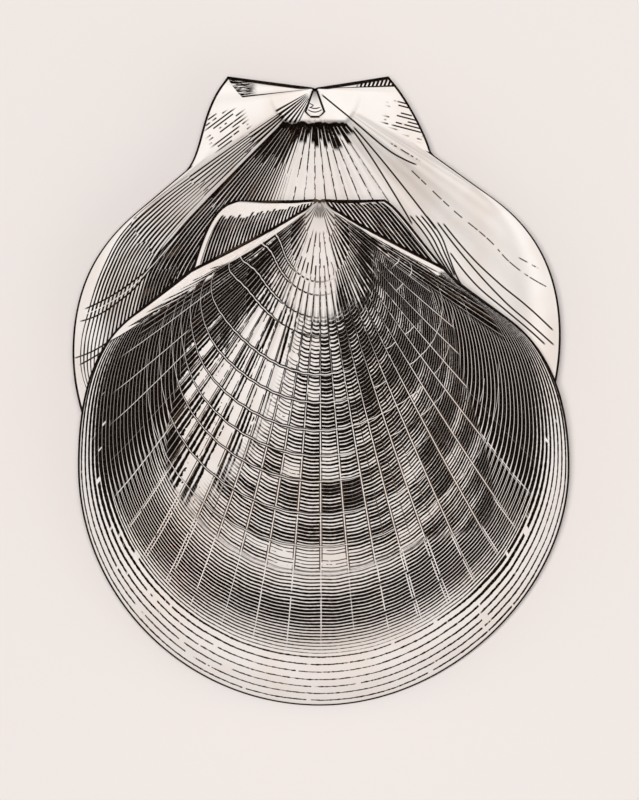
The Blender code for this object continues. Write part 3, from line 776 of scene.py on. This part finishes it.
def inner_shell(settings):
    """Smooth porcelain calcite, soft gloss; umber threads that sweep in from the hinge paint shade."""
    skin = Skin("porcelain_calcite_lining")
    angle, sweep, wide, reach = skin.angle, skin.sweep, skin.wide, skin.reach
    across, along, gap = skin.across, skin.along, skin.margin_gap
    left, right = angle.smooth(-1, 1), angle.smooth(1, -1)
    broken = skin.soft_noise(angle * 0.45, reach * 0.14, 1)

    plate_edge = along.larger(reach * PLATE_COSINE) - (PLATE_REACH + 0.2)
    plate_edge = plate_edge + (skin.soft_noise(across * 0.55, 3, 2) - 0.5) * 1.7
    on_plate = plate_edge.smooth(0.15, -0.15)
    past_plate = plate_edge.smooth(-0.1, 0.15)

    # Painted shade: threads on the shaded side run beside the margin and gather at the beak.
    shaded = angle.smooth(14, 26)
    hollow_side = (sweep - CREST_SWEEP).smooth(-0.3, 0.3)
    share = 0.5 + hollow_side * (0.26 - (sweep - 22).smooth(0, 24) * 0.3)
    share = share + plate_edge.smooth(9, 0) * hollow_side * 0.34 + reach.smooth(30, 50) * 0.08
    share = share + reach.smooth(20, 9) * 0.14 - angle.bump_at(48, 4) * reach.bump_at(33, 6) * 0.2
    share = share - reach.smooth(60, 70) * 0.16
    share = (share + (broken - 0.5) * 0.35) * sweep.smooth(0.9, 2.2) * (shaded * 0.75 + 0.25)
    share = share.math("MINIMUM", 0.84)

    # Threads are added as they fan out, so that they stay about 0.7 mm apart.
    switch = reach + (broken - 0.5) * 12
    begins = [reach.smooth(2, 3), reach.smooth(8.45, 8.55)]
    begins += [switch.smooth(start - 0.05, start + 0.05) for start in SHADE_THREAD_STARTS]
    none = share * 0
    shade_threads = none
    for degrees, begun, ended in zip(SHADE_THREAD_DEGREES, begins, [*begins[1:], none]):
        shade_threads = shade_threads.larger((sweep / degrees).stripes(share) * begun * (1 - ended))
    shade_threads = shade_threads * shaded.smooth(0.02, 0.12) * (1 - on_plate * hollow_side)
    crest_mm = (sweep - CREST_SWEEP) * reach * DEGREE
    crest_on = shaded * reach.between(9, 45, 1)
    crest_pale = abs(crest_mm + 0.05).smooth(0.24, 0.12) * crest_on
    crest_dark = abs(crest_mm - 0.42).smooth(0.34, 0.2) * crest_on

    # Sparse broken lines down the middle, and dark tufts and a band under the plate's edge: painted shadow of
    # the plate.
    ray = angle / RAY_DEGREES
    rays = (ray + 0.5).line_distance() * reach * 0.0489
    ray_break = skin.soft_noise((ray + 1).math("FLOOR") * 3.3, reach * 0.45, 2).smooth(0.4, 0.46)
    rays = rays.smooth(0.17, 0.09) * angle.between(-34, 16, 1) * past_plate * ray_break
    tuft = angle / TUFT_DEGREES
    tuft_length = 2.2 + skin.cell_noise(tuft.math("FLOOR"), 0, 3) * 3.6
    shadow_tufts = tuft.stripes(0.8) * (plate_edge - tuft_length).smooth(0.4, -0.6) * past_plate
    shadow_tufts = shadow_tufts * angle.between(-43, 26, 0.6) * abs(across - 0.95).smooth(0.16, 0.26)
    band_noise = skin.cell_noise((angle / (TUFT_DEGREES / 2)).math("FLOOR"), 1, 3)
    band_end = 0.7 + band_noise * 1.7 * angle.smooth(-34, -22)
    plate_shadow_band = (plate_edge - band_end).smooth(0.12, -0.12) * plate_edge.smooth(-0.1, 0.1)
    shadow_tufts = shadow_tufts.larger(plate_shadow_band * angle.between(-43, 45, 0.6))

    # The pit of the ligament: its outline and the folds at its bottom.
    pit_side = abs(across) - pit_half_width(along)
    pit_line = abs(pit_side).smooth(0.29, 0.18) * along.between(0.4, 5.75, 0.1)
    pit_base = along.between(5.5, 5.95, 0.06) * abs(across).smooth(1.05, 0.85)
    pit_folds = ((along + across ** 2 * 0.25) / 0.73).stripes(0.36) * pit_side.smooth(-0.32, -0.45)
    pit_folds = pit_folds * along.between(3.75, 4.95, 0.08)
    hook = abs(abs(along - 3.42) - (across - 0.23) * 0.52).smooth(0.15, 0.07)
    pit = pit_line.larger(pit_base, pit_folds, hook * across.between(0.25, 1.1, 0.08))
    plate_threads = (sweep / SHADE_THREAD_DEGREES[0]).stripes(0.56) * on_plate
    plate_threads = plate_threads * angle.between(25, 62, 1.5) * reach.smooth(1.6, 2.6)

    # Fold lines, together with the painted shadow lines of the upper valve's ear.
    folds_and_ear_shadow = [skin.path_line(points, 0.17) for points in SHADED_FOLDS + LIT_FOLDS + EAR_SHADE]
    fold_break = skin.soft_noise(reach * 0.5, 0, 4).smooth(0.44, 0.5)
    folds_and_ear_shadow += [skin.path_line(points, 0.12) * fold_break for points in BROKEN_FOLDS]
    fold_gap = skin.path_line(PALE_FOLD, 0.08)

    # Ears: short dashes, and the fibrous strip of the outer ligament along the hinge line.
    beside = abs(across)
    stroke = (across * 0.6 - along * 0.8) * left + (along * 0.96 - beside * 0.25) * (1 - left)
    stroke = stroke / 0.7
    along_stroke = (across * 0.8 + along * 0.6) * left + (beside * 0.96 + along * 0.25) * (1 - left)
    dash_break = skin.soft_noise(along_stroke * 0.22, stroke.math("FLOOR") * 3.7, 6).smooth(0.48, 0.51)
    ear_dashes = stroke.stripes(0.44) * dash_break * (wide + left * 6).between(63, 82, 1)
    ear_dashes = ear_dashes * reach.between(15.5, 24, 1)
    strip_side = wide - right * 8.3
    on_strip = strip_side.smooth(82.8, 83.4) * reach.smooth(0.8, 1.6)
    on_strip = on_strip * (gap - (96.5 - wide) * 0.38).smooth(-0.1, 0.1).larger(right)
    fibres = skin.soft_noise(reach * 0.5, wide * 1.6, 5, 4).smooth(0.58, 0.52) * (1 - right)
    fibres = fibres.larger(((beside + along * 0.4) / 0.8).stripes(0.6) * right)
    fibres = fibres * (reach + right * 4).smooth(11.5, 13.5)
    strip = fibres.larger(strip_side.between(82.7, 84.4, 0.2)) * on_strip
    hinge_edge = ((97.4 + right * 1.4 - wide) * reach * DEGREE).smooth(0.62, 0.42) * wide.smooth(85, 90)
    outline = gap.smooth(0.3, 0.18)
    beak_dot = reach.smooth(0.75, 0.5)

    ink = (shade_threads * (1 - crest_pale)).larger(crest_dark, rays, shadow_tufts, pit, plate_threads, *folds_and_ear_shadow)
    ink = (ink * (1 - fold_gap)).larger(ear_dashes, strip, hinge_edge, outline, beak_dot)
    # The painted shade's threads turn browner in patches.
    brown = broken.smooth(0.55, 0.7) * 0.3 * shaded
    return skin.finish(ink, brown, settings.inner_ground, settings, 0.48)


# Pieces


def grow_valve(name, margin, turned, hinge, inputs):
    """Runs the valve tree on a margin curve and returns a plain mesh piece, placed in its mesh."""
    curve, disc_start, disc_end = margin_curve(name + "_margin", margin)
    tree = bpy.data.node_groups.get("Valve from Margin") or valve_tree()
    creases = [math.degrees(math.atan2(*margin[side]["notch"])) for side in ("left", "right")]
    modifier = curve.modifiers.new("Valve", "NODES")
    modifier.node_group = tree
    inputs = {"Disc Start": disc_start, "Disc End": disc_end, "Crease Angle": max(creases), **inputs}
    for item in tree.interface.items_tree:
        if item.in_out == "INPUT" and item.name in inputs:
            modifier[item.identifier] = inputs[item.name]
    depsgraph = bpy.context.evaluated_depsgraph_get()
    evaluated = curve.evaluated_get(depsgraph)
    mesh = bpy.data.meshes.new_from_object(evaluated, preserve_all_data_layers=True, depsgraph=depsgraph)
    if not mesh.polygons:
        raise RuntimeError(f"{name} has no faces")
    curve.modifiers.remove(modifier)
    bpy.data.objects.remove(curve, do_unlink=True)
    placing = Matrix.Translation(Vector(hinge) * MM)
    placing = placing @ Matrix.Rotation(turned[0], 4, "X") @ Matrix.Rotation(turned[1], 4, "Y")
    mesh.transform(placing)
    mesh.name = name
    return add_object(name, mesh)


class ShellSettings(bpy.types.PropertyGroup):
    """Sizes and colours of the two valves."""

    rib_count: bpy.props.IntProperty(
        name="Ribs", description="Ribs on each valve", default=28, min=8, max=60)
    rib_height: bpy.props.FloatProperty(
        name="Rib height", description="Height of a rib in mm", default=0.28, min=0.0, max=2.0)
    upper_turn: bpy.props.FloatProperty(
        name="Upper dome", description="How fast the upper valve's stages turn about the hinge",
        default=0.46, subtype="ANGLE")
    lower_turn: bpy.props.FloatProperty(
        name="Lower dome", description="How fast the lower valve's stages turn about the hinge",
        default=0.37, subtype="ANGLE")
    outer_ground: bpy.props.StringProperty(
        name="Outside", description="sRGB hex colour of the outside", default="#EFE7E2")
    inner_ground: bpy.props.StringProperty(
        name="Inside", description="sRGB hex colour of the lining", default="#F5EEE9")
    # One ink draws both the growth lines and the painted shade and shadow.
    ink_for_lines_and_shade: bpy.props.StringProperty(
        name="Pigment", description="sRGB hex colour of the growth lines", default="#110702")
    pale_pigment: bpy.props.StringProperty(
        name="Pale pigment", description="sRGB hex colour of the grooves", default="#6B5542")


# The studio, in metres: the floor's half width, the soft boxes as (name, place, size, share of the key's
# power), and the camera's frame, given by its middle and its height at the shells' mean level.
FLOOR_HALF = 3.0
LIGHTS = (
    ("key", (-0.05, 0.07, 2.4), 0.35, 1.0),
    ("fill", (0.6, -0.5, 0.9), 1.2, 0.03),
)
VIEW_MIDDLE = (-0.0003, -0.0017)
VIEW_HEIGHT = 0.1639
VIEW_LEVEL = 0.015


class StageSettings(bpy.types.PropertyGroup):
    """Floor, lights and camera."""

    floor_colour: bpy.props.StringProperty(
        name="Floor", description="sRGB hex colour of the floor", default="#EEE6E2")
    key_power: bpy.props.FloatProperty(
        name="Key light", description="Power of the key light", default=43.5, subtype="POWER")
    camera_height: bpy.props.FloatProperty(
        name="Camera height", description="Height of the camera above the table", default=2.0, unit="LENGTH")


def shared_inputs(settings):
    """What both valves take: their ribs and the two materials, each made once."""
    return {
        "Rib Count": float(settings.rib_count),
        "Rib Height": settings.rib_height,
        "Outside": bpy.data.materials.get("umber_lined_shade_hatched_calcite") or outer_shell(settings),
        "Inside": bpy.data.materials.get("porcelain_calcite_lining") or inner_shell(settings),
    }


class SHELL_OT_lower_valve(bpy.types.Operator):
    """Grow the lower valve, hollow side up"""

    bl_idname = "shell.lower_valve"
    bl_label = "Lower Valve"

    def execute(self, context):
        settings = context.scene.shell_settings
        piece = grow_valve("lower_valve_shell", LOWER_MARGIN, LOWER_TURNED, LOWER_HINGE, {
            "Turn": settings.lower_turn,
            "Rest Depth": LOWER_HINGE[2],
            "Hinge Facet": 0.5,
            **shared_inputs(settings),
        })
        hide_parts("lower_valve")
        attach(piece, "root")
        return {"FINISHED"}


class SHELL_OT_upper_valve(bpy.types.Operator):
    """Grow the upper valve, which leans on the lower one with its outside up"""

    bl_idname = "shell.upper_valve"
    bl_label = "Upper Valve"

    def execute(self, context):
        settings = context.scene.shell_settings
        piece = grow_valve("upper_valve_shell", UPPER_MARGIN, UPPER_TURNED, UPPER_HINGE, {
            "Turn": settings.upper_turn,
            **shared_inputs(settings),
        })
        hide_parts("upper_valve")
        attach(piece, "root")
        return {"FINISHED"}


class SHELL_OT_stage(bpy.types.Operator):
    """Set the floor, the soft lights and the camera above the shells"""

    bl_idname = "shell.stage"
    bl_label = "Studio"

    def execute(self, context):
        settings = context.scene.stage_settings
        scene = context.scene

        material = bpy.data.materials.new("pale_paper_floor")
        material.use_nodes = True
        shader = material.node_tree.nodes["Principled BSDF"]
        shader.inputs["Base Color"].default_value = linear(settings.floor_colour)
        shader.inputs["Roughness"].default_value = 0.9
        sides = ((-1, -1), (1, -1), (1, 1), (-1, 1))
        mesh = bpy.data.meshes.new("floor")
        mesh.from_pydata([(x * FLOOR_HALF, y * FLOOR_HALF, 0.0) for x, y in sides], [], [(0, 1, 2, 3)])
        mesh.materials.append(material)
        floor = add_object("floor", mesh)

        # A soft box high above, a little to the upper left, and a broad fill from the lower right.
        for name, place, size, share in LIGHTS:
            light = bpy.data.lights.new(name, "AREA")
            light.size = size
            light.energy = settings.key_power * share
            lamp = add_object(name, light)
            lamp.location = place
            lamp.rotation_euler = (-Vector(place)).to_track_quat("-Z", "Y").to_euler()
        world = bpy.data.worlds.new("soft_white")
        world.use_nodes = True
        sky = world.node_tree.nodes["Background"].inputs
        sky["Color"].default_value = linear("#FFFDFB")
        sky["Strength"].default_value = 0.22
        scene.world = world

        camera = bpy.data.cameras.new("camera")
        camera.sensor_fit = "VERTICAL"
        camera.sensor_height = 24.0
        camera.lens = camera.sensor_height * (settings.camera_height - VIEW_LEVEL) / VIEW_HEIGHT
        eye = add_object("camera", camera)
        eye.location = (*VIEW_MIDDLE, settings.camera_height)
        scene.camera = eye
        # The plain transform keeps the paper pale and the pigment dark, as they are in print.
        scene.view_settings.view_transform = "Standard"
        return {"FINISHED"}


class SHELL_PT_panel(bpy.types.Panel):
    """Lists the pieces of the scene"""

    bl_idname = "SHELL_PT_panel"
    bl_label = "Scallop Shell"
    bl_space_type = "VIEW_3D"
    bl_region_type = "UI"
    bl_category = "Shell"

    def draw(self, context):
        column = self.layout.column()
        for settings in (context.scene.shell_settings, context.scene.stage_settings):
            for name in settings.__annotations__:
                column.prop(settings, name)
        for operator in PIECES:
            column.operator(operator.bl_idname)


PIECES = (SHELL_OT_lower_valve, SHELL_OT_upper_valve, SHELL_OT_stage)
CLASSES = (ShellSettings, StageSettings, *PIECES, SHELL_PT_panel)


def register():
    for cls in CLASSES:
        bpy.utils.register_class(cls)
    bpy.types.Scene.shell_settings = bpy.props.PointerProperty(type=ShellSettings)
    bpy.types.Scene.stage_settings = bpy.props.PointerProperty(type=StageSettings)


def unregister():
    del bpy.types.Scene.shell_settings, bpy.types.Scene.stage_settings
    for cls in reversed(CLASSES):
        bpy.utils.unregister_class(cls)


def main():
    register()
    bpy.ops.shell.lower_valve()
    bpy.ops.shell.upper_valve()
    bpy.ops.shell.stage()


if __name__ == "__main__":
    main()
